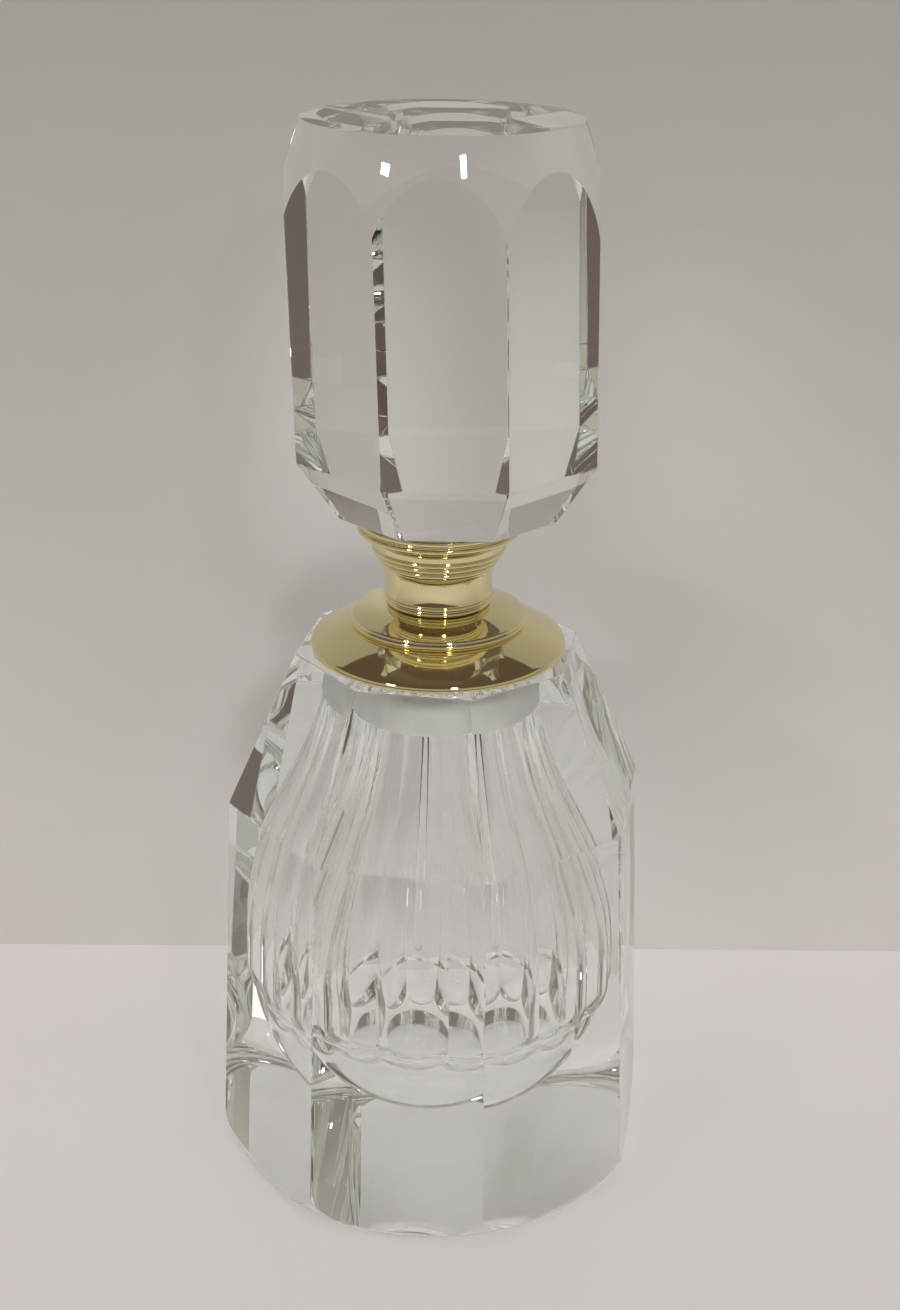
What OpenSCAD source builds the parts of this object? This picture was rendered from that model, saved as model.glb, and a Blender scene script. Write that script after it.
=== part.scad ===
// Cut crystal perfume bottle with a gilt collar, a screw stopper and a glass dauber.
// Millimetres, +Z up, origin at the centre of the base on the table.
// One flat of the bottle faces -Y.

/* [Bottle body] */
// Distance from the axis to an upright edge of the body, at the shoulder
shoulder_r = 32; // [24:0.5:42]
// The same distance at the foot, where the sides have flared out
foot_r = 34.55; // [26:0.05:46]
// Height of the shoulder line
shoulder_z = 61.8; // [40:0.1:90]
// Distance from the axis to a corner of the flat top
crown_r = 21.4; // [19.8:0.1:30]
// Height of the flat top that carries the collar
crown_z = 85.3; // [60:0.1:120]
// Radius of the rounded edge under the base
foot_round = 6.4; // [2:0.1:10]
// Number of flats round the body and round the stopper
flat_count = 8; // [6:2:12]

/* [Cavity] */
// Largest radius of the fluted hollow, at the crest of a flute
belly_r = 22.2; // [12:0.1:25]
// Height of the widest part of the hollow
belly_z = 35.2; // [24:0.1:50]
// Height at which the flutes start to round in towards their lower ends
flute_end_z = 30.8; // [29:0.1:33]
// Height over which the flutes round in
flute_round = 4; // [2:0.1:6]
// Depth to which the flutes round in
flute_sink = 2.6; // [1.5:0.1:4]
// Height of the lowest point of the hollow
floor_z = 12.4; // [6:0.1:20]
// Widest radius of the smooth bowl below the flutes
bowl_r = 20.7; // [10:0.1:20.8]
// Height at which the bowl is widest
bowl_z = 32; // [31:0.1:34]
// Number of flutes
flute_count = 12; // [8:2:20]
// Depth of the crease between two flutes, as a share of the radius
flute_depth = 0.06; // [0.01:0.005:0.06]
// Turn of the flutes against the flats
flute_turn = 2.7; // [0:0.1:30]
// Radius of the ground neck bore
neck_r = 11.5; // [9:0.1:13]
// Height of the lower end of the ground neck bore
neck_z = 75.4; // [68:0.1:82]

/* [Collar] */
// Radius of the broad lower dome
flange_r = 19; // [14:0.1:19.5]
// Height of the broad lower dome
flange_h = 4.1; // [2:0.1:8]
// Radius of the small upper dome
button_r = 13.2; // [9:0.1:16]
// Height of the small upper dome
button_h = 2.7; // [1:0.1:5]
// Outer radius of the skirt that is cemented in the neck
skirt_r = 10.6; // [8:0.1:11]
// Depth of the skirt below the collar
skirt_h = 8.4; // [3:0.1:12]

/* [Neck thread] */
// Bore radius of the threaded neck
throat_r = 4.6; // [3.5:0.1:5]
// Root radius of the thread on the neck
thread_root_r = 5.55; // [5:0.05:6]
// Crest radius of the thread on the neck
thread_crest_r = 5.98; // [5.5:0.02:6.2]
// Rise of the thread in one turn
thread_pitch = 2.4; // [1.5:0.1:4]
// Turns of thread on the neck
thread_turns = 2; // [1:0.25:3]
// Height of the threaded neck above the collar
neck_rise = 8.3; // [6:0.1:10]

/* [Stopper cap] */
// Radius of the hollow waist of the cap at its narrowest
waist_r = 7.9; // [7.5:0.05:8.4]
// Radius of the turned rings at the bottom of the cap
ring_r = 7.8; // [7.5:0.05:9]
// Radius of the lip under the stopper
lip_r = 11.95; // [9:0.05:15]
// Height of the cap from its bottom ring to its lip
cap_h = 14.4; // [13:0.1:20]
// Gap between the cap and the collar when screwed down
cap_gap = 0.1; // [0.05:0.05:0.3]

/* [Stopper crystal] */
// Distance from the axis to an upright edge of the stopper
stopper_r = 22.6; // [16:0.1:30]
// Distance from the axis to a corner of the stopper's flat bottom
stopper_foot_r = 16.6; // [12:0.1:22]
// Height of the sloping cuts at the bottom of the stopper
stopper_bevel_h = 8.8; // [4:0.1:14]
// Height of the stopper
stopper_h = 54.6; // [30:0.1:80]
// Radius of the flat disc on top of the stopper
stopper_top_r = 19.1; // [12:0.1:26]
// Height above the bottom at which the upright edges meet the barrelled top
stopper_edge_h = 41.8; // [20:0.1:70]
// Turn of the stopper's flats against the flats of the body
stopper_turn = 9; // [0:0.1:45]
// Sideways run of the hand-ground flats for each millimetre of height
cut_lean = 0.029; // [0:0.001:0.04]
// Height above the bottom at which the leaning flats are centred
lean_z = 48; // [20:0.5:54]

/* [Dauber] */
// Radius of the glass rod
rod_r = 1.5; // [1:0.05:2.5]
// Height of the tip of the rod above the base
rod_tip_z = 38; // [18:0.1:60]
// Radius of the plug that holds the rod
plug_r = 4.35; // [3:0.05:4.5]

/* [Hidden] */
$fn = 96;
eps = 0.02;
big = 80;
flat_step = 360 / flat_count;
flat_share = cos(flat_step / 2);
bowl_h = bowl_z - floor_z;
// The hollow ends inside the bore, which leaves a narrow ledge where the grinding stopped
mouth_r = neck_r - 0.3;
mouth_z = neck_z + 0.6;
collar_z = crown_z + eps;
button_z = collar_z + flange_h;
collar_top_z = button_z + button_h;
thread_top_z = collar_top_z + neck_rise;
cap_z = collar_top_z + cap_gap;
cap_top_z = cap_z + cap_h;
washer_t = 1;
cap_ceiling_z = thread_top_z + washer_t + 2 * eps;
cement_t = 0.5;
cement_r = lip_r - 0.6;
crystal_z = cap_top_z + 0.1;
// Every other sloping cut under the stopper starts this much higher
hand_cut = 0.02;
liner_r = 6.9;
liner_root_r = 6.5;
liner_crest_r = thread_crest_r + 0.07;
plug_z = collar_z + 1;
plug_top_z = cap_ceiling_z + 1.9;
rod_top_z = cap_ceiling_z - 1;

// ---- shared shapes ----

// An outline given on its right-hand side only, completed with its mirror image, and then
// slanted about the height lean_z
function both_sides(half, lean) =
    let (left = [for (i = [len(half) - 1 : -1 : 0]) [-half[i][0], half[i][1]]])
    [for (p = concat(half, left)) [p[0] + lean * (lean_z - p[1]), p[1]]];

// A block with flats cut in opposite pairs. Each section is across one pair, as distances
// from the axis to the flat and heights, and neighbouring pairs take the sections in turn.
// The block is turned by an angle, and its flats lean along X.
module cut_block(sections, turn = 0, lean = 0) {
    intersection_for(i = [0 : flat_count / 2 - 1])
        rotate([0, 0, turn + i * flat_step])
            rotate([90, 0, 0])
                linear_extrude(2 * big, center = true)
                    polygon(both_sides(sections[i % len(sections)],
                        lean * cos(turn + i * flat_step)));
}

// Points of an arc about c, from angle a0 to a1, counted from the outward direction
function arc(c, rx, ry, a0, a1, n) =
    [for (i = [0 : n]) let (a = a0 + (a1 - a0) * i / n) [c[0] + rx * cos(a), c[1] + ry * sin(a)]];

module tube(r_out, r_in, z0, z1) {
    rotate_extrude()
        translate([r_in, z0])
            square([r_out - r_in, z1 - z0]);
}

// Cross-section of a thread ridge at angle a, tapering away at both ends
function ridge(a, total, r_base, r_tip, z0, width) =
    let (f = max(0.15, min(1, min(a, total - a) / 40)))
    let (tip = r_base + (r_tip - r_base) * f)
    let (zc = z0 + thread_pitch * a / 360)
    [for (p = [[r_base, -width / 2], [tip, -width / 5], [tip, width / 5], [r_base, width / 2]])
        [p[0] * cos(a), p[0] * sin(a), zc + p[1]]];

// A screw thread ridge that stands off a cylinder of radius r_base
module thread_ridge(r_base, r_tip, z0, width, turns) {
    total = turns * 360;
    steps = round(turns * 32);
    points = [for (i = [0 : steps]) each ridge(total * i / steps, total, r_base, r_tip, z0, width)];
    inward = r_tip < r_base;
    sides = [for (i = [0 : steps - 1]) for (k = [0 : 3])
        let (a = 4 * i + k, b = 4 * i + (k + 1) % 4)
        each [[a, b, b + 4], [a, b + 4, a + 4]]];
    ends = [[0, 2, 1], [0, 3, 2], [4 * steps, 4 * steps + 1, 4 * steps + 2],
        [4 * steps, 4 * steps + 2, 4 * steps + 3]];
    faces = concat(sides, ends);
    polyhedron(points, inward ? [for (f = faces) [f[2], f[1], f[0]]] : faces);
}

// ---- the fluted hollow ----

function bowl_at(z) = z >= bowl_z
    ? 0
    : bowl_r * sqrt(max(0, 1 - pow((bowl_z - z) / bowl_h, 2)));

function wall_at(z) = z >= belly_z
    ? mouth_r + (belly_r - mouth_r) * (0.5 + 0.5 * cos(180 * (z - belly_z) / (mouth_z - belly_z)))
    : belly_r - flute_sink * (1 - sqrt(1 - pow(min(1, max(0, flute_end_z - z) / flute_round), 2)));

function fluted_at(z, a) =
    max(bowl_at(z), wall_at(z) * (1 - flute_depth * (1 - abs(cos(flute_count * a / 2)))));

module hollow() {
    around = flute_count * 8;
    low = 9;
    ends = 5;
    high = 13;
    foot_z = flute_end_z - flute_round;
    bowl_span = acos((bowl_z - foot_z) / bowl_h);
    heights = concat(
        [for (i = [1 : low]) bowl_z - bowl_h * cos(bowl_span * i / low)],
        [for (i = [1 : ends]) foot_z + flute_round * i / ends],
        [for (i = [0 : high]) belly_z + (mouth_z - belly_z) * i / high]);
    rows = len(heights);
    rings = [for (z = heights) for (j = [0 : around - 1])
        let (a = 360 * j / around, r = fluted_at(z, a)) [r * cos(a), r * sin(a), z]];
    points = concat(rings, [[0, 0, floor_z], [0, 0, mouth_z]]);
    sides = [for (i = [0 : rows - 2]) for (j = [0 : around - 1])
        let (a = i * around + j, b = i * around + (j + 1) % around)
        each [[a, a + around, b + around], [a, b + around, b]]];
    bottom = [for (j = [0 : around - 1]) [rows * around, j, (j + 1) % around]];
    top = [for (j = [0 : around - 1])
        let (base = (rows - 1) * around) [rows * around + 1, base + (j + 1) % around, base + j]];
    polyhedron(points, concat(sides, bottom, top));
}

// ---- bottle ----

module bottle_body() {
    flare = (foot_r - shoulder_r) / (shoulder_z - foot_round);
    lean = (shoulder_r - crown_r) / (crown_z - shoulder_z);
    color([0.86, 0.88, 0.87, 0.35])
        difference() {
            intersection() {
                rotate([0, 0, flat_step / 3])
                    rotate_extrude()
                        polygon(concat([[0, 0]],
                            arc([foot_r - foot_round, foot_round], foot_round, foot_round, -90, 0, 12),
                            [[foot_r + 4, foot_round + 6], [foot_r + 4, crown_z], [0, crown_z]]));
                cut_block([[[flat_share * (foot_r + foot_round * flare + flare), -1],
                    [flat_share * shoulder_r, shoulder_z],
                    [flat_share * (crown_r - lean), crown_z + 1]]]);
            }
            rotate([0, 0, flute_turn])
                hollow();
            translate([0, 0, neck_z])
                cylinder(r = neck_r, h = crown_z - neck_z + 1);
        }
}

module neck_cement() {
    color([0.8, 0.8, 0.77, 0.8])
        tube(neck_r - eps, skirt_r + eps, crown_z - skirt_h, crown_z - eps);
}

// Points of a shallow dome from an upright rim at [r, z] with an edge rounding, up to [r_top, z_top]
function dome(r, z, edge, r_top, z_top) =
    let (foot = [r - edge * (1 - cos(50)), z + edge * sin(50)])
    let (slope = atan2(z_top - foot[1], foot[0] - r_top), chord = norm([foot[0] - r_top, z_top - foot[1]]))
    let (bend = 12, radius = chord / (2 * sin(bend)))
    let (c = [foot[0] - radius * sin(slope + bend), foot[1] - radius * cos(slope + bend)])
    concat(
        arc([r - edge, z], edge, edge, 0, 50, 8),
        [for (i = [1 : 12]) let (a = 90 - slope - bend + 2 * bend * i / 12)
            [c[0] + radius * cos(a), c[1] + radius * sin(a)]]);

module neck_collar() {
    bead = 0.4;
    color([0.86, 0.7, 0.36])
        rotate_extrude()
            polygon(concat(
                [[liner_r, collar_z], [skirt_r - 0.9, collar_z], [skirt_r - 0.9, crown_z - skirt_h],
                 [skirt_r, crown_z - skirt_h], [skirt_r, collar_z]],
                arc([flange_r - 0.3, collar_z + 0.3], 0.3, 0.3, -90, -30, 3),
                dome(flange_r, collar_z + 0.3, 1.1, button_r - 0.9, button_z),
                arc([button_r - bead, button_z + bead], bead, bead, -70, 60, 8),
                dome(button_r - 0.3, button_z + 2 * bead, 0.5, ring_r - 0.1, collar_top_z),
                [[liner_r, collar_top_z]]));
}

module neck_thread() {
    color([0.8, 0.66, 0.36])
        union() {
            tube(liner_r - eps, throat_r, collar_z, collar_top_z - eps);
            tube(thread_root_r, throat_r, collar_top_z - 1, thread_top_z);
            thread_ridge(thread_root_r - 0.1, thread_crest_r, collar_top_z + 1.6, 1.1, thread_turns);
        }
}

module seal_washer() {
    color([0.92, 0.91, 0.88])
        tube(thread_root_r + 0.3, plug_r + 0.1, thread_top_z + eps, thread_top_z + eps + washer_t);
}

// ---- stopper ----

// Outline of the turned cap from its bottom rings, past the hollow waist and the beads of the
// flare, up to the lip
function cap_outline() =
    let (bead = 0.4, cove_z = 4 * bead, cove_h = 4.5, flare_z = cove_z + cove_h, lip_z = cap_h - 3)
    concat(
        [[ring_r - bead, 0]],
        arc([ring_r - bead, bead], bead, bead, -80, 60, 8),
        arc([ring_r - bead, 3 * bead], bead, bead, -50, 60, 8),
        [for (i = [0 : 14]) let (t = i / 14 - 0.45)
            [waist_r + (t < 0 ? 0.74 : 1.49) * pow(t, 2), cove_z + cove_h * i / 14]],
        [for (i = [0 : 2]) each
            arc([waist_r + 0.3 + 0.6 * i, flare_z + 0.5 + i], 0.46, 0.46, -70, 60, 6)],
        arc([lip_r - 0.45, flare_z + 3.1], 1.7, lip_z - flare_z - 3.5, 176, 100, 8),
        arc([lip_r - 0.45, lip_z + 0.1], 0.45, 0.45, -60, 80, 6),
        arc([lip_r - 0.6, lip_z + 1.2], 0.5, 0.5, -70, 60, 6),
        arc([lip_r - 0.5, cap_h - 0.5], 0.5, 0.5, -40, 90, 8));

module stopper_cap() {
    color([0.88, 0.72, 0.38])
        difference() {
            translate([0, 0, cap_z])
                rotate_extrude()
                    polygon(concat([[0, 0]], cap_outline(),
                        [[cement_r, cap_h], [cement_r, cap_h - cement_t], [0, cap_h - cement_t]]));
            translate([0, 0, cap_z - 1])
                cylinder(r = liner_r + eps, h = cap_ceiling_z - cap_z + 1);
            translate([0, 0, cap_ceiling_z - 1])
                cylinder(r = plug_r + eps, h = plug_top_z - cap_ceiling_z + 1 + eps);
        }
}

module cap_liner() {
    color([0.8, 0.66, 0.36])
        union() {
            tube(liner_r, liner_root_r, cap_z + 0.2, cap_ceiling_z - eps);
            thread_ridge(liner_root_r + 0.1, liner_crest_r, collar_top_z + 2.8, 1.1, 1.5);
        }
}

module dauber_plug() {
    color([0.93, 0.93, 0.92])
        difference() {
            union() {
                translate([0, 0, plug_z])
                    cylinder(r = plug_r - 0.15, h = plug_top_z - plug_z - 1);
                translate([0, 0, cap_ceiling_z])
                    cylinder(r = plug_r, h = plug_top_z - cap_ceiling_z);
            }
            translate([0, 0, plug_z - 1])
                cylinder(r = rod_r + eps, h = rod_top_z - plug_z + 1 + eps);
        }
}

module dauber_rod() {
    color([0.88, 0.9, 0.89, 0.5])
        rotate_extrude()
            polygon(concat(arc([0, rod_tip_z + rod_r], rod_r, rod_r, -90, 0, 12),
                [[rod_r, rod_top_z], [0, rod_top_z]]));
}

module stopper_cement() {
    color([0.92, 0.92, 0.86, 0.6])
        translate([0, 0, cap_top_z - cement_t + eps])
            cylinder(r = cement_r - eps, h = crystal_z - cap_top_z + cement_t - 2 * eps);
}

// Centre and radius of the barrel arc through the top disc's rim and the heads of the upright edges
barrel_bulge = 0.42;
barrel_run = stopper_h - stopper_edge_h;
barrel_rise = stopper_r - stopper_top_r;
barrel_chord = sqrt(pow(barrel_run, 2) + pow(barrel_rise, 2));
barrel_arc_r = pow(barrel_chord / 2, 2) / (2 * barrel_bulge) + barrel_bulge / 2;
barrel_lean = atan(barrel_rise / barrel_run);
barrel_half = asin(barrel_chord / 2 / barrel_arc_r);
barrel_c = [stopper_r - barrel_arc_r * cos(barrel_lean - barrel_half),
            stopper_edge_h - barrel_arc_r * sin(barrel_lean - barrel_half)];

module stopper_crystal() {
    slope = (stopper_r - stopper_foot_r) / stopper_bevel_h;
    color([0.86, 0.88, 0.87, 0.35])
        translate([0, 0, crystal_z])
            intersection() {
                rotate([0, 0, stopper_turn + flat_step / 3])
                    rotate_extrude()
                        intersection() {
                            square([stopper_r + 4, stopper_h]);
                            union() {
                                translate(barrel_c)
                                    circle(r = barrel_arc_r, $fn = 360);
                                square([stopper_r + 4, barrel_c[1]]);
                            }
                        }
                cut_block([for (h = [stopper_bevel_h, stopper_bevel_h + hand_cut])
                    [[flat_share * (stopper_r - slope * (h + 1)), -1],
                     [flat_share * stopper_r, h],
                     [flat_share * stopper_r, stopper_h + 1]]], stopper_turn, cut_lean);
            }
}

bottle_body();
neck_cement();
neck_collar();
neck_thread();
seal_washer();
stopper_cap();
cap_liner();
dauber_plug();
dauber_rod();
stopper_cement();
stopper_crystal();
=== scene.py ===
"""Looks for a cut crystal perfume bottle: crystal, gilt fittings, ground neck and glass dauber."""
import math

import bmesh
import bpy
from mathutils import Matrix, Vector


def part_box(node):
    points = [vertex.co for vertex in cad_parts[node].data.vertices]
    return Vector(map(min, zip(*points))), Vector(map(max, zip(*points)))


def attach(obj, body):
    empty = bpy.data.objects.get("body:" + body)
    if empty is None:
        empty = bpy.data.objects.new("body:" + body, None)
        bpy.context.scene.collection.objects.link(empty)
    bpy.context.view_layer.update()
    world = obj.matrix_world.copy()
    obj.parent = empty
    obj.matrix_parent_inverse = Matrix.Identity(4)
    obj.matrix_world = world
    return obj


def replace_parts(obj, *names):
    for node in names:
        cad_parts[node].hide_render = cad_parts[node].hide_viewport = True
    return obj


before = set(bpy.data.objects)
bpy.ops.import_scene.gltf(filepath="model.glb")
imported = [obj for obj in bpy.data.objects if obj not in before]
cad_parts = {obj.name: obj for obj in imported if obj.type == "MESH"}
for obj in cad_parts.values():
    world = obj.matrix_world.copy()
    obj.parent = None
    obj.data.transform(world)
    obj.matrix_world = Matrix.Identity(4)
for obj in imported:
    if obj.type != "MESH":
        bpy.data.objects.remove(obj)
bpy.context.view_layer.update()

MM = 0.001
# Heights closer than this are taken as the same
NEAR = 1e-6
# Least upward share of a level face's normal
LEVEL = 0.9999
ROUND_STEPS = 288
FLATS = 8
FLAT_STEP = 2 * math.pi / FLATS
# How far a flat is from the axis, as a share of how far its edges are
FLAT_SHARE = math.cos(FLAT_STEP / 2)
# How far an uncut blank stands out past the edges of its flats
BLANK = 4 * MM

BODY_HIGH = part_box("bottle_body")[1]
STOPPER_LOW, STOPPER_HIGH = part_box("stopper_crystal")
COLLAR_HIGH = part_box("neck_collar")[1]
CAP_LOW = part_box("stopper_cap")[0]
ROD_LOW, ROD_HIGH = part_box("dauber_rod")

# Bottle body, with radii to the edges between its flats
CROWN_Z = BODY_HIGH.z
CROWN_R = 21.4 * MM
SHOULDER_Z = 61.8 * MM
SHOULDER_R = 32 * MM
FOOT_R = 34.55 * MM
FOOT_ROUND = 6.4 * MM
EDGE_POLISH = 0.14 * MM

# Fluted hollow, with radii to the crests of its flutes
BELLY_R = 22.2 * MM
BELLY_Z = 35.2 * MM
FLUTES = 12
FLUTE_TURN = math.radians(2.7)
# Depth of the crease between two flutes, as a share of the radius
FLUTE_DEPTH = 0.047
FLUTE_END_Z = 30.8 * MM
FLUTE_ROUND = 4 * MM
FLUTE_SINK = 2.6 * MM
BOWL_R = 20.7 * MM
BOWL_Z = 32 * MM
FLOOR_Z = 12.4 * MM
MOUTH_R = 11.2 * MM
MOUTH_Z = 76 * MM
NECK_R = 11.5 * MM
NECK_Z = 75.4 * MM
BOWL_ROWS = 20
FOOT_ROWS = 14
FLUTE_ROWS = 44

# Stopper, with radii to the edges between its flats
STOPPER_Z = STOPPER_LOW.z
STOPPER_H = STOPPER_HIGH.z - STOPPER_LOW.z
STOPPER_R = 22.6 * MM
STOPPER_FOOT_R = 16.6 * MM
STOPPER_BEVEL_H = 8.8 * MM
STOPPER_TOP_R = 19.1 * MM
STOPPER_EDGE_H = 41.8 * MM
STOPPER_TURN = math.radians(9)
BARREL_BULGE = 0.42 * MM
# Sideways lean of the stopper's flats, and the height at which it is nothing
CUT_LEAN = 0.029
LEAN_Z = 48 * MM

# Gilt fittings
COLLAR_FLANGE_H = 4.1
COLLAR_BUTTON_H = 2.7
DOME_RIM_TURN = 50
DOME_BEND = 7

# Camera, which stands a little to the right of the bottle's front
VIEW_SIDE = math.radians(10)
CAMERA_OUT = 258.5 * MM
CAMERA_UP = 193.5 * MM
CAMERA_PITCH = 0.403
CAMERA_YAW = 0.007
CAMERA_ROLL = 0.012
CAMERA_LENS = 51.64
CAMERA_SENSOR = 36

# Stage, in metres: half sizes of the floor, whose width the backdrop shares, and the backdrop's place
FLOOR_DEEP = 0.46
FLOOR_WIDE = 1.1
FLOOR_GAP = 0.05 * MM
WALL_BACK = 52 * MM
WALL_TOP = 0.186
LIGHTS_AIM = (0, 0, 0.09)
FLOOR_COLOUR = (0.80, 0.775, 0.77, 1)
WALL_COLOUR = (0.72, 0.70, 0.69, 1)
# Painted shade: the backdrop's colour at its top, darker than at its foot
WALL_PAINTED_SHADE_COLOUR = (0.44, 0.43, 0.40, 1)

# Colour of the room by the height of the sight line: 0 is straight down, 0.5 level and 1 straight up
ROOM_BANDS = [
    (0.0, (0.10, 0.075, 0.067, 1)),
    (0.49, (0.115, 0.085, 0.075, 1)),
    (0.54, (0.40, 0.36, 0.30, 1)),
    (0.70, (0.46, 0.43, 0.37, 1)),
    (0.76, (0.115, 0.082, 0.07, 1)),
]
ROOM_SEEN_COLOUR = (0.62, 0.61, 0.60, 1)

# Principled inputs by the short names used here
SOCKETS = {
    "transmission": "Transmission Weight",
    "ior": "IOR",
    "metallic": "Metallic",
    "roughness": "Roughness",
    "specular": "Specular IOR Level",
}


# ---- mesh helpers ----

def arc(centre, rx, ry, start, end, steps):
    """Points of an arc about centre, with angles in degrees counted from the outward direction."""
    points = []
    for i in range(steps + 1):
        a = math.radians(start + (end - start) * i / steps)
        points.append((centre[0] + rx * math.cos(a), centre[1] + ry * math.sin(a)))
    return points


def ring(bm, r, z, steps, start=0):
    """Vertices spaced evenly round a level circle."""
    turns = [start + 2 * math.pi * i / steps for i in range(steps)]
    return [bm.verts.new((r * math.cos(a), r * math.sin(a), z)) for a in turns]


def ring_edges(bm, verts):
    return [bm.edges.get((vert, verts[(i + 1) % len(verts)])) for i, vert in enumerate(verts)]


def skin(bm, low, high):
    """Faces between two rings, where either may be a single pole."""
    steps = max(len(low), len(high))
    faces = []
    for i in range(steps):
        j = (i + 1) % steps
        corners = [low[i % len(low)], low[j % len(low)], high[j % len(high)], high[i % len(high)]]
        unique = [v for n, v in enumerate(corners) if v not in corners[:n]]
        faces.append(bm.faces.new(unique))
    return faces


def smooth_skin(bm, rings, material=0):
    """Smooth faces through a list of rings, with the index of their material."""
    for low, high in zip(rings, rings[1:]):
        for face in skin(bm, low, high):
            face.smooth = True
            face.material_index = material


def revolve(bm, outline, steps=ROUND_STEPS, closed=False):
    """Turns an outline of (radius, height) points about the Z axis."""
    rings = [[bm.verts.new((0, 0, z))] if r == 0 else ring(bm, r, z, steps) for r, z in outline]
    smooth_skin(bm, rings + rings[:1] if closed else rings)


def close_ends(bm, heights):
    """Closes the open rims at these heights, each with one face, and returns the faces."""
    faces = []
    for z in heights:
        rim = [e for e in bm.edges if e.is_boundary and abs(e.verts[0].co.z - z) < NEAR]
        faces += bmesh.ops.contextual_create(bm, geom=rim)["faces"]
    return faces


def sharpen(bm, degrees):
    """Splits the shading at edges that turn by more than this."""
    for edge in bm.edges:
        if len(edge.link_faces) == 2 and edge.calc_face_angle(0) > math.radians(degrees):
            edge.smooth = False


def piece(bm, name, body, slot, *materials):
    """A finished mesh object that rides on a CAD body and takes the materials given; the slot is not
    used.
    """
    bmesh.ops.recalc_face_normals(bm, faces=bm.faces[:])
    mesh = bpy.data.meshes.new(name)
    bm.to_mesh(mesh)
    bm.free()
    for material in materials:
        mesh.materials.append(material)
    obj = bpy.data.objects.new(name, mesh)
    bpy.context.scene.collection.objects.link(obj)
    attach(obj, body)
    return obj


def cut(bm, point, normal):
    """Grinds a flat: removes what is in front of a plane and closes the cut with one face."""
    geometry = bm.verts[:] + bm.edges[:] + bm.faces[:]
    made = bmesh.ops.bisect_plane(
        bm, geom=geometry, dist=1e-8, plane_co=point, plane_no=normal, clear_outer=True)
    edges = [g for g in made["geom_cut"] if isinstance(g, bmesh.types.BMEdge)]
    for face in bmesh.ops.contextual_create(bm, geom=edges)["faces"]:
        face.smooth = False


def cut_flats(bm, inner, outer, turn=0, lean=0):
    """Grinds one flat on each side, through two (distance, height) points. The flats lean along X."""
    for i in range(FLATS):
        a = turn + i * FLAT_STEP
        low, high = [(r + lean * math.cos(a) * (LEAN_Z - z), z) for r, z in (inner, outer)]
        rise = Vector((high[0] - low[0], high[1] - low[1]))
        out = Vector((math.cos(a), math.sin(a), 0))
        normal = (out * rise.y - Vector((0, 0, rise.x))) * math.copysign(1, rise.y)
        cut(bm, out * low[0] + Vector((0, 0, low[1])), normal.normalized())


def polish_edges(bm, width):
    """A narrow polished bevel on every edge between two ground flats."""
    flat = [f for f in bm.faces if not f.smooth]
    edges = [e for e in bm.edges if len(e.link_faces) == 2 and all(f in flat for f in e.link_faces)]
    bmesh.ops.bevel(bm, geom=edges, offset=width, segments=2, profile=0.5, affect="EDGES")
    for edge in bm.edges:
        if any(not f.smooth for f in edge.link_faces):
            edge.smooth = False


# ---- crystal ----

def bowl_radius(z):
    """Radius of the smooth bowl below the flutes."""
    return BOWL_R * math.sqrt(max(0, 1 - ((BOWL_Z - z) / (BOWL_Z - FLOOR_Z)) ** 2))


def wall_radius(z):
    """Radius of the hollow at the crest of a flute."""
    if z < BELLY_Z:
        inward = min(1, max(0, FLUTE_END_Z - z) / FLUTE_ROUND)
        return BELLY_R - FLUTE_SINK * (1 - math.sqrt(1 - inward ** 2))
    swell = 0.5 + 0.5 * math.cos(math.pi * (z - BELLY_Z) / (MOUTH_Z - BELLY_Z))
    return MOUTH_R + (BELLY_R - MOUTH_R) * swell


def flute_foot(crease):
    """Height at which a flute runs out into the bowl, found by halving the span."""
    low, high = FLUTE_END_Z - FLUTE_ROUND, FLUTE_END_Z
    for _ in range(40):
        middle = (low + high) / 2
        if crease * wall_radius(middle) > bowl_radius(middle):
            high = middle
        else:
            low = middle
    return high


def hollow_column(a):
    """Radii and heights of the hollow at one angle, from above the bowl's pole to the neck."""
    crease = 1 - FLUTE_DEPTH * (1 - abs(math.cos(FLUTES * a / 2)))
    foot = flute_foot(crease)
    bowl_span = math.acos((BOWL_Z - foot) / (BOWL_Z - FLOOR_Z))
    column = []
    for i in range(1, BOWL_ROWS + 1):
        t = bowl_span * i / BOWL_ROWS
        column.append((BOWL_R * math.sin(t), BOWL_Z - (BOWL_Z - FLOOR_Z) * math.cos(t)))
    for i in range(1, FOOT_ROWS + 1):
        z = foot + (FLUTE_END_Z - foot) * i / FOOT_ROWS
        column.append((crease * wall_radius(z), z))
    for i in range(1, FLUTE_ROWS + 1):
        z = FLUTE_END_Z + (NECK_Z - FLUTE_END_Z) * i / FLUTE_ROWS
        column.append((crease * wall_radius(z), z))
    return column


def hollow_rings(bm):
    """Rings of the hollow's wall, from the pole of its bowl up to the neck."""
    turn = 2 * math.pi / ROUND_STEPS
    columns = [hollow_column(i * turn) for i in range(ROUND_STEPS)]
    rings = [[bm.verts.new((0, 0, FLOOR_Z))]]
    for row in zip(*columns):
        verts = []
        for i, (r, z) in enumerate(row):
            a = i * turn + FLUTE_TURN
            verts.append(bm.verts.new((r * math.cos(a), r * math.sin(a), z)))
        rings.append(verts)
    return rings


def sharpen_creases(bm, rings):
    """Splits the shading along the creases between the flutes."""
    step = ROUND_STEPS // FLUTES
    for low, high in zip(rings, rings[1:]):
        for i in range(step // 2, ROUND_STEPS, step):
            bm.edges.get((low[i], high[i])).smooth = False


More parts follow.
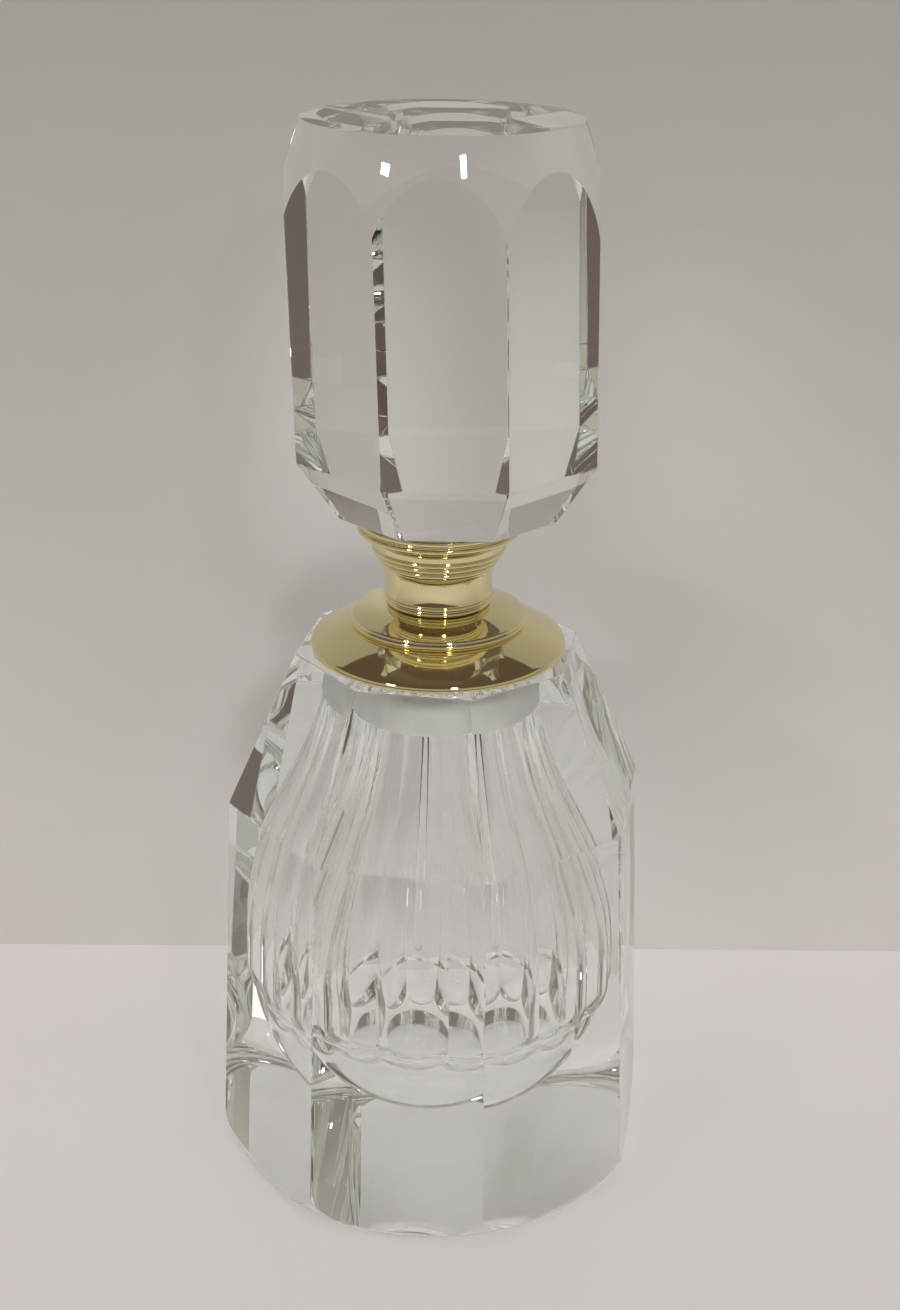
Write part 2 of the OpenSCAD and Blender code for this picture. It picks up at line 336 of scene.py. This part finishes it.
def add_hollow(bm, ground):
    """The fluted hollow with its ground neck bore. Returns the rim of the bore at the crown."""
    rings = hollow_rings(bm)
    smooth_skin(bm, rings)
    bore = [rings[-1]] + [ring(bm, NECK_R, z, ROUND_STEPS, FLUTE_TURN) for z in (NECK_Z, CROWN_Z)]
    smooth_skin(bm, bore, ground)
    sharpen_creases(bm, rings[BOWL_ROWS:])
    for verts in [rings[BOWL_ROWS]] + bore:
        for edge in ring_edges(bm, verts):
            edge.smooth = False
    return bore[-1]


def crystal_body(crystal, ground):
    """The body: flats ground on a round blank, then the hollow let into its crown."""
    flare = (FOOT_R - SHOULDER_R) / (SHOULDER_Z - FOOT_ROUND)
    blank_top = CROWN_Z + 2 * MM
    outline = arc((FOOT_R - FOOT_ROUND, FOOT_ROUND), FOOT_ROUND, FOOT_ROUND, -90, 0, 20)
    outline += [(FOOT_R + BLANK, FOOT_ROUND + 6 * MM), (FOOT_R + BLANK, blank_top)]
    bm = bmesh.new()
    revolve(bm, outline)
    close_ends(bm, (0, blank_top))
    low = (FLAT_SHARE * (FOOT_R + flare * FOOT_ROUND), 0)
    shoulder = (FLAT_SHARE * SHOULDER_R, SHOULDER_Z)
    crown = (FLAT_SHARE * CROWN_R, CROWN_Z)
    cut_flats(bm, low, shoulder)
    cut_flats(bm, shoulder, crown)
    cut(bm, (0, 0, CROWN_Z), (0, 0, 1))
    polish_edges(bm, EDGE_POLISH)
    level = [f for f in bm.faces if f.normal.z > LEVEL]
    crown_faces = [f for f in level if f.calc_center_median().z > CROWN_Z - NEAR]
    rim = [e for f in crown_faces for e in f.edges]
    bmesh.ops.delete(bm, geom=crown_faces, context="FACES_ONLY")
    rim += ring_edges(bm, add_hollow(bm, 1))
    bmesh.ops.triangle_fill(bm, use_beauty=True, use_dissolve=False, edges=rim, normal=(0, 0, 1))
    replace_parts(piece(bm, "crystal_body", "bottle", "crystal", crystal, ground), "bottle_body")


def crystal_stopper(crystal):
    """The stopper: a round blank with a barrelled top, upright flats and sloping cuts under them."""
    chord = math.hypot(STOPPER_H - STOPPER_EDGE_H, STOPPER_R - STOPPER_TOP_R)
    radius = (chord / 2) ** 2 / (2 * BARREL_BULGE) + BARREL_BULGE / 2
    lean = math.atan2(STOPPER_R - STOPPER_TOP_R, STOPPER_H - STOPPER_EDGE_H)
    half = math.asin(chord / 2 / radius)
    centre = (STOPPER_R - radius * math.cos(lean - half), STOPPER_EDGE_H - radius * math.sin(lean - half))
    outline = [(STOPPER_R + BLANK, 0), (STOPPER_R + BLANK, centre[1])]
    outline += arc(centre, radius, radius, 0, math.degrees(lean + half), 48)
    bm = bmesh.new()
    revolve(bm, outline)
    for face in close_ends(bm, (outline[0][1], outline[-1][1])):
        face.smooth = False
    shoulder = (FLAT_SHARE * STOPPER_R, STOPPER_BEVEL_H)
    cut_flats(bm, (shoulder[0], STOPPER_H), shoulder, STOPPER_TURN, CUT_LEAN)
    cut_flats(bm, (FLAT_SHARE * STOPPER_FOOT_R, 0), shoulder, STOPPER_TURN, CUT_LEAN)
    polish_edges(bm, EDGE_POLISH)
    bmesh.ops.translate(bm, verts=bm.verts[:], vec=(0, 0, STOPPER_Z))
    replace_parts(piece(bm, "crystal_stopper", "stopper", "crystal", crystal), "stopper_crystal")


def glass_rod(glass):
    """The dauber: a drawn rod with a round tip and a small chamfer at its top."""
    r = ROD_HIGH.x
    chamfer = 0.1 * MM
    outline = [(0, ROD_LOW.z)] + arc((0, ROD_LOW.z + r), r, r, -90, 0, 16)[1:]
    outline += [(r, ROD_HIGH.z - chamfer), (r - chamfer, ROD_HIGH.z), (0, ROD_HIGH.z)]
    bm = bmesh.new()
    revolve(bm, outline, 96)
    sharpen(bm, 40)
    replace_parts(piece(bm, "glass_dauber_rod", "stopper", "rod_glass", glass), "dauber_rod")


# ---- metal ----

def dome(r, z, edge, r_top, z_top):
    """A shallow dome that springs from an upright rounded rim at (r, z), up to (r_top, z_top)."""
    rim = arc((r - edge, z), edge, edge, 0, DOME_RIM_TURN, 14)
    foot = rim[-1]
    slope = math.atan2(z_top - foot[1], foot[0] - r_top)
    bend = math.radians(DOME_BEND)
    radius = math.hypot(foot[0] - r_top, z_top - foot[1]) / (2 * math.sin(bend))
    centre = (foot[0] - radius * math.sin(slope + bend), foot[1] - radius * math.cos(slope + bend))
    start = 90 - math.degrees(slope + bend)
    return rim + arc(centre, radius, radius, start, start + 2 * DOME_BEND, 32)[1:]


def cap_outline(base):
    """Outline of the turned stopper cap in millimetres above base, from its bottom rings to its lip."""
    waist_r, ring_r, lip_r, bore_r, height = 7.9, 7.8, 11.95, 6.92, 14.4
    bead, flare_bead, lip_edge = 0.4, 0.46, 0.5
    cove_z, cove_h, cove_steps, narrowest = 1.6, 4.5, 24, 0.45
    flare_z, lip_z = cove_z + cove_h, height - 3
    points = [(ring_r - bead, 0)]
    points += arc((ring_r - bead, bead), bead, bead, -80, 60, 12)
    points += arc((ring_r - bead, 3 * bead), bead, bead, -50, 60, 12)
    for i in range(cove_steps + 1):
        t = i / cove_steps - narrowest
        spread = 0.74 if t < 0 else 1.49
        points.append((waist_r + spread * t ** 2, cove_z + cove_h * i / cove_steps))
    for i in range(3):
        points += arc((waist_r + 0.3 + 0.6 * i, flare_z + 0.5 + i), flare_bead, flare_bead, -70, 60, 10)
    points += arc((lip_r - 0.45, flare_z + 3.1), 1.7, lip_z - flare_z - 3.5, 176, 100, 14)
    points += arc((lip_r - 0.45, lip_z + 0.1), 0.45, 0.45, -60, 80, 10)
    points += arc((lip_r - 0.6, lip_z + 1.2), lip_edge, lip_edge, -70, 60, 10)
    points += arc((lip_r - lip_edge, height - lip_edge), lip_edge, lip_edge, -40, 90, 12)
    points += [(lip_r - 0.6, height), (lip_r - 0.6, height - 0.5), (bore_r, height - 0.5), (bore_r, 0)]
    return [(r * MM, base + z * MM) for r, z in points]


def collar_outline(base):
    """Outline of the two-domed collar in millimetres above base, with its skirt below."""
    flange_r, button_r, skirt_r, top_r, bore_r = 19, 13.2, 10.6, 7.7, 6.92
    skirt_h, skirt_wall, bead, rim = 8.4, 0.9, 0.4, 0.3
    skirt_in = skirt_r - skirt_wall
    top = COLLAR_FLANGE_H + COLLAR_BUTTON_H
    points = [(bore_r, 0), (skirt_in, 0), (skirt_in, -skirt_h), (skirt_r, -skirt_h), (skirt_r, 0)]
    points += arc((flange_r - rim, rim), rim, rim, -90, -30, 4)
    points += dome(flange_r, rim, 1.1, button_r - 0.9, COLLAR_FLANGE_H)
    points += arc((button_r - bead, COLLAR_FLANGE_H + bead), bead, bead, -70, 60, 10)
    points += dome(button_r - 0.3, COLLAR_FLANGE_H + 2 * bead, 0.5, top_r, top)
    points += [(bore_r, top)]
    return [(r * MM, base + z * MM) for r, z in points]


def gilt_piece(name, outline, body, gilt):
    """A gilt fitting turned from a closed outline."""
    bm = bmesh.new()
    revolve(bm, outline, closed=True)
    sharpen(bm, 28)
    return piece(bm, name, body, "gilt", gilt)


def gilt_fittings(gilt):
    collar_base = COLLAR_HIGH.z - (COLLAR_FLANGE_H + COLLAR_BUTTON_H) * MM
    collar = gilt_piece("gilt_collar", collar_outline(collar_base), "bottle", gilt)
    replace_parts(collar, "neck_collar")
    cap = gilt_piece("gilt_stopper_cap", cap_outline(CAP_LOW.z), "stopper", gilt)
    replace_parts(cap, "stopper_cap")


# ---- materials ----

def start_material(name, colour, **values):
    """A Principled material, with its constants set on the shader's own sockets."""
    material = bpy.data.materials.new(name)
    material.use_nodes = True
    tree = material.node_tree
    tree.nodes.clear()
    shader = tree.nodes.new("ShaderNodeBsdfPrincipled")
    shader.inputs["Base Color"].default_value = colour
    for key, value in values.items():
        shader.inputs[SOCKETS[key]].default_value = value
    output = tree.nodes.new("ShaderNodeOutputMaterial")
    tree.links.new(shader.outputs["BSDF"], output.inputs["Surface"])
    return material, tree, shader, output


def noise(tree, scale, detail, stretch=(1, 1, 1)):
    """A noise texture in the object's own metres, stretched along an axis if asked."""
    place = tree.nodes.new("ShaderNodeTexCoord")
    mapping = tree.nodes.new("ShaderNodeMapping")
    mapping.inputs["Scale"].default_value = stretch
    texture = tree.nodes.new("ShaderNodeTexNoise")
    texture.inputs["Scale"].default_value = scale
    texture.inputs["Detail"].default_value = detail
    tree.links.new(place.outputs["Object"], mapping.inputs["Vector"])
    tree.links.new(mapping.outputs["Vector"], texture.inputs["Vector"])
    return texture.outputs["Fac"]


def ramp(tree, source, low, high, to_low, to_high):
    """Maps the span from low to high onto the span from to_low to to_high."""
    node = tree.nodes.new("ShaderNodeMapRange")
    node.inputs["From Min"].default_value = low
    node.inputs["From Max"].default_value = high
    node.inputs["To Min"].default_value = to_low
    node.inputs["To Max"].default_value = to_high
    tree.links.new(source, node.inputs["Value"])
    return node.outputs["Result"]


def vary_roughness(tree, shader, source, span, roughness):
    """Roughness that follows a texture, from one end of its span to the other."""
    tree.links.new(ramp(tree, source, *span, *roughness), shader.inputs["Roughness"])


def bump(tree, shader, height, distance):
    node = tree.nodes.new("ShaderNodeBump")
    node.inputs["Distance"].default_value = distance
    node.inputs["Strength"].default_value = 1
    tree.links.new(height, node.inputs["Height"])
    tree.links.new(node.outputs["Normal"], shader.inputs["Normal"])


def mix_shaders(tree, factor, first, second, surface):
    """Blends two shaders by a factor, into an output's surface."""
    mix = tree.nodes.new("ShaderNodeMixShader")
    tree.links.new(factor, mix.inputs["Fac"])
    tree.links.new(first, mix.inputs[1])
    tree.links.new(second, mix.inputs[2])
    tree.links.new(mix.outputs["Shader"], surface)


def pale_shadow(tree, shader, output):
    """Clear glass throws only a faint shadow."""
    ray = tree.nodes.new("ShaderNodeLightPath").outputs["Is Shadow Ray"]
    clear = tree.nodes.new("ShaderNodeBsdfTransparent")
    clear.inputs["Color"].default_value = (0.86, 0.86, 0.86, 1)
    mix_shaders(tree, ray, shader.outputs["BSDF"], clear.outputs["BSDF"], output.inputs["Surface"])


def make_crystal():
    """Cut crystal with a slow wave of the polishing, faint haze and a green-grey tint in depth."""
    material, tree, shader, output = start_material("crystal", (1, 1, 1, 1), transmission=1, ior=1.52)
    vary_roughness(tree, shader, noise(tree, 900, 3), (0.55, 0.9), (0, 0.03))
    bump(tree, shader, noise(tree, 45, 1), 0.02 * MM)
    tint = tree.nodes.new("ShaderNodeVolumeAbsorption")
    tint.inputs["Color"].default_value = (0.72, 0.82, 0.76, 1)
    tint.inputs["Density"].default_value = 2.5
    tree.links.new(tint.outputs["Volume"], output.inputs["Volume"])
    pale_shadow(tree, shader, output)
    return material


def make_rod_glass():
    """Smooth glass with the long waves that drawing leaves."""
    material, tree, shader, output = start_material(
        "rod_glass", (1, 1, 1, 1), transmission=1, ior=1.5, roughness=0)
    bump(tree, shader, noise(tree, 300, 1, (1, 1, 0.1)), 0.004 * MM)
    pale_shadow(tree, shader, output)
    return material


def make_ground_glass():
    """Glass ground to a frosted grain."""
    material, tree, shader, output = start_material(
        "ground_glass", (0.97, 0.97, 0.95, 1), transmission=0.55, ior=1.52)
    grain = noise(tree, 6000, 4)
    vary_roughness(tree, shader, grain, (0.3, 0.7), (0.35, 0.6))
    bump(tree, shader, grain, 0.02 * MM)
    pale_shadow(tree, shader, output)
    return material


def make_gilt():
    """Bright plated gold with fine wear and a slight unevenness."""
    material, tree, shader, output = start_material("gilt", (0.83, 0.75, 0.43, 1), metallic=1)
    vary_roughness(tree, shader, noise(tree, 1500, 4), (0.4, 0.8), (0.04, 0.12))
    bump(tree, shader, noise(tree, 260, 2), 0.01 * MM)
    return material


def make_brass():
    """Bare brass with the rings that turning leaves."""
    material, tree, shader, output = start_material("raw_brass", (0.70, 0.52, 0.24, 1), metallic=1)
    turning = noise(tree, 700, 3, (0.02, 0.02, 6))
    vary_roughness(tree, shader, turning, (0.3, 0.7), (0.2, 0.38))
    bump(tree, shader, turning, 0.01 * MM)
    return material


def make_cement(name, colour, transmission, roughness):
    """Grainy cement that lets some light through."""
    material, tree, shader, output = start_material(name, colour, transmission=transmission, ior=1.5)
    grain = noise(tree, 1200, 5)
    vary_roughness(tree, shader, grain, (0.3, 0.7), (roughness - 0.1, roughness + 0.1))
    bump(tree, shader, grain, 0.05 * MM)
    return material


def make_plastic(name, colour):
    """Moulded plastic with a fine grain."""
    material, tree, shader, output = start_material(name, colour)
    grain = noise(tree, 2500, 3)
    vary_roughness(tree, shader, grain, (0.3, 0.7), (0.38, 0.52))
    bump(tree, shader, grain, 0.01 * MM)
    return material


def dress(node, material):
    """Gives a CAD node that stays on show its finish."""
    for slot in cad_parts[node].material_slots:
        slot.material = material


# ---- camera, stage and lights ----

def add_camera():
    data = bpy.data.cameras.new("camera")
    data.sensor_width = CAMERA_SENSOR
    data.lens = CAMERA_LENS
    data.clip_start = 0.01
    data.clip_end = 50
    camera = bpy.data.objects.new("camera", data)
    bpy.context.scene.collection.objects.link(camera)
    place = Vector((CAMERA_OUT * math.sin(VIEW_SIDE), -CAMERA_OUT * math.cos(VIEW_SIDE), CAMERA_UP))
    turn = Matrix.Rotation(VIEW_SIDE - CAMERA_YAW, 4, "Z")
    tilt = Matrix.Rotation(math.pi / 2 - CAMERA_PITCH, 4, "X")
    roll = Matrix.Rotation(CAMERA_ROLL, 4, "Z")
    camera.matrix_world = Matrix.Translation(place) @ turn @ tilt @ roll
    bpy.context.scene.camera = camera


def stage_material(name, colour):
    """A plain matt finish."""
    return start_material(name, colour, specular=0.2, roughness=0.7)


def backdrop_material():
    """A backdrop with painted shade that darkens it with height, and which is clear from behind, so that
    it hides nothing.
    """
    material, tree, shader, output = stage_material("backdrop", WALL_COLOUR)
    place = tree.nodes.new("ShaderNodeTexCoord")
    height = tree.nodes.new("ShaderNodeSeparateXYZ")
    tree.links.new(place.outputs["Object"], height.inputs["Vector"])
    # Painted shade: the backdrop's colour darkens from its foot towards its top
    shade = tree.nodes.new("ShaderNodeMix")
    shade.data_type = "RGBA"
    shade.inputs["A"].default_value = WALL_COLOUR
    shade.inputs["B"].default_value = WALL_PAINTED_SHADE_COLOUR
    tree.links.new(ramp(tree, height.outputs["Z"], 0.03, 0.17, 0, 1), shade.inputs["Factor"])
    tree.links.new(shade.outputs["Result"], shader.inputs["Base Color"])
    back = tree.nodes.new("ShaderNodeNewGeometry").outputs["Backfacing"]
    clear = tree.nodes.new("ShaderNodeBsdfTransparent")
    mix_shaders(tree, back, shader.outputs["BSDF"], clear.outputs["BSDF"], output.inputs["Surface"])
    return material


def sheet(name, corners, material):
    """One flat sheet of the stage."""
    mesh = bpy.data.meshes.new(name)
    mesh.from_pydata(corners, [], [(0, 1, 2, 3)])
    mesh.materials.append(material)
    obj = bpy.data.objects.new(name, mesh)
    bpy.context.scene.collection.objects.link(obj)


def add_stage():
    """The floor, just under the base, and the backdrop, which faces the camera."""
    signs = [(-1, -1), (1, -1), (1, 1), (-1, 1)]
    floor = [(x * FLOOR_WIDE, y * FLOOR_DEEP, -FLOOR_GAP) for x, y in signs]
    sheet("floor", floor, stage_material("floor", FLOOR_COLOUR)[0])
    back = Vector((-math.sin(VIEW_SIDE), math.cos(VIEW_SIDE), 0)) * WALL_BACK
    side = Vector((math.cos(VIEW_SIDE), math.sin(VIEW_SIDE), 0)) * FLOOR_WIDE
    up = Vector((0, 0, WALL_TOP))
    corners = [back - side, back + side, back + side + up, back - side + up]
    sheet("backdrop", [tuple(c) for c in corners], backdrop_material())


def area_light(name, place, size, power, in_glass=True):
    """A light aimed at the bottle's neck, which glass and metal may show or not."""
    data = bpy.data.lights.new(name, "AREA")
    data.shape = "RECTANGLE"
    data.size, data.size_y = size
    data.energy = power
    light = bpy.data.objects.new(name, data)
    bpy.context.scene.collection.objects.link(light)
    light.location = place
    light.rotation_euler = (Vector(LIGHTS_AIM) - Vector(place)).to_track_quat("-Z", "Y").to_euler()
    light.visible_camera = False
    light.visible_glossy = in_glass
    light.visible_transmission = in_glass


def add_lights():
    """Two soft boxes for the light, and two small lamps for the highlights."""
    area_light("top", (0, -0.35, 1.0), (0.9, 0.7), 3.9, False)
    area_light("side", (0.8, -0.5, 0.6), (0.4, 0.4), 0.9, False)
    area_light("lamp_left", (-0.218, -0.335, 0.33), (0.045, 0.025), 0.25)
    area_light("lamp_right", (0.175, -0.36, 0.36), (0.03, 0.055), 0.5)


def add_room():
    """The room round the stage: brown with a pale band in light and reflections, pale to the camera."""
    world = bpy.data.worlds.new("studio")
    bpy.context.scene.world = world
    world.use_nodes = True
    tree = world.node_tree
    tree.nodes.clear()
    place = tree.nodes.new("ShaderNodeTexCoord")
    height = tree.nodes.new("ShaderNodeSeparateXYZ")
    tree.links.new(place.outputs["Generated"], height.inputs["Vector"])
    band = tree.nodes.new("ShaderNodeValToRGB")
    while len(band.color_ramp.elements) < len(ROOM_BANDS):
        band.color_ramp.elements.new(0.5)
    for element, (at, colour) in zip(band.color_ramp.elements, ROOM_BANDS):
        element.position = at
        element.color = colour
    tree.links.new(ramp(tree, height.outputs["Z"], -1, 1, 0, 1), band.inputs["Fac"])
    room = tree.nodes.new("ShaderNodeBackground")
    tree.links.new(band.outputs["Color"], room.inputs["Color"])
    pale = tree.nodes.new("ShaderNodeBackground")
    pale.inputs["Color"].default_value = ROOM_SEEN_COLOUR
    seen = tree.nodes.new("ShaderNodeLightPath").outputs["Is Camera Ray"]
    surface = tree.nodes.new("ShaderNodeOutputWorld").inputs["Surface"]
    mix_shaders(tree, seen, room.outputs["Background"], pale.outputs["Background"], surface)


crystal = make_crystal()
brass = make_brass()
add_camera()
add_stage()
add_lights()
add_room()
crystal_body(crystal, make_ground_glass())
crystal_stopper(crystal)
glass_rod(make_rod_glass())
gilt_fittings(make_gilt())
dress("neck_thread", brass)
dress("cap_liner", brass)
dress("neck_cement", make_cement("neck_cement", (0.78, 0.78, 0.74, 1), 0.3, 0.6))
dress("stopper_cement", make_cement("stopper_cement", (0.9, 0.9, 0.84, 1), 0.9, 0.2))
dress("seal_washer", make_plastic("washer", (0.86, 0.85, 0.80, 1)))
dress("dauber_plug", make_plastic("plug_plastic", (0.88, 0.88, 0.86, 1)))

# Light crosses many flats inside the crystal, so each path needs many bounces
scene = bpy.context.scene
scene.view_settings.view_transform = "Standard"
scene.cycles.max_bounces = 24
scene.cycles.transmission_bounces = 24
scene.cycles.glossy_bounces = 24
